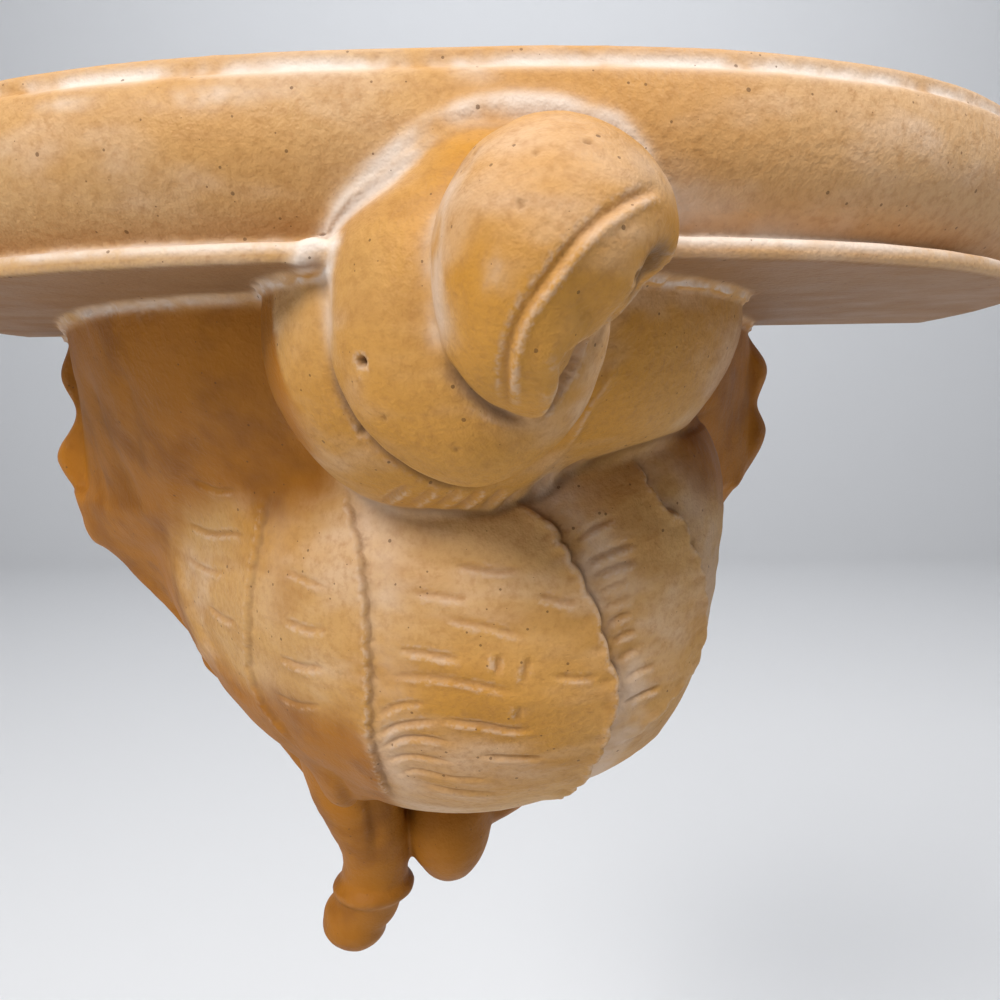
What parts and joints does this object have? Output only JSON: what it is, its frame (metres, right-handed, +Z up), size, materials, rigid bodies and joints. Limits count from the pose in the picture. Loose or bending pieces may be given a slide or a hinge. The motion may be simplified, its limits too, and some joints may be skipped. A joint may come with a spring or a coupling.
{
  "type": "shell wall shelf",
  "caption": "D-shaped wall shelf with a moulded edge, cast in one piece with the carved whelk shell that carries it like a bracket.",
  "frame": {"origin": "the hanging point: a point of the flat back, centred in the shelf's width, 60 mm below the shelf's upper face", "axes": "+Z up, +X to the right seen from the front, +Y into the wall, so the front faces -Y"},
  "size_m": [0.336, 0.2048, 0.2684],
  "materials": {
    "terracotta_plaster": "matte"
  },
  "bodies": {
    "root": {"shell_wall_shelf": "terracotta_plaster"}
  },
  "joints": []
}
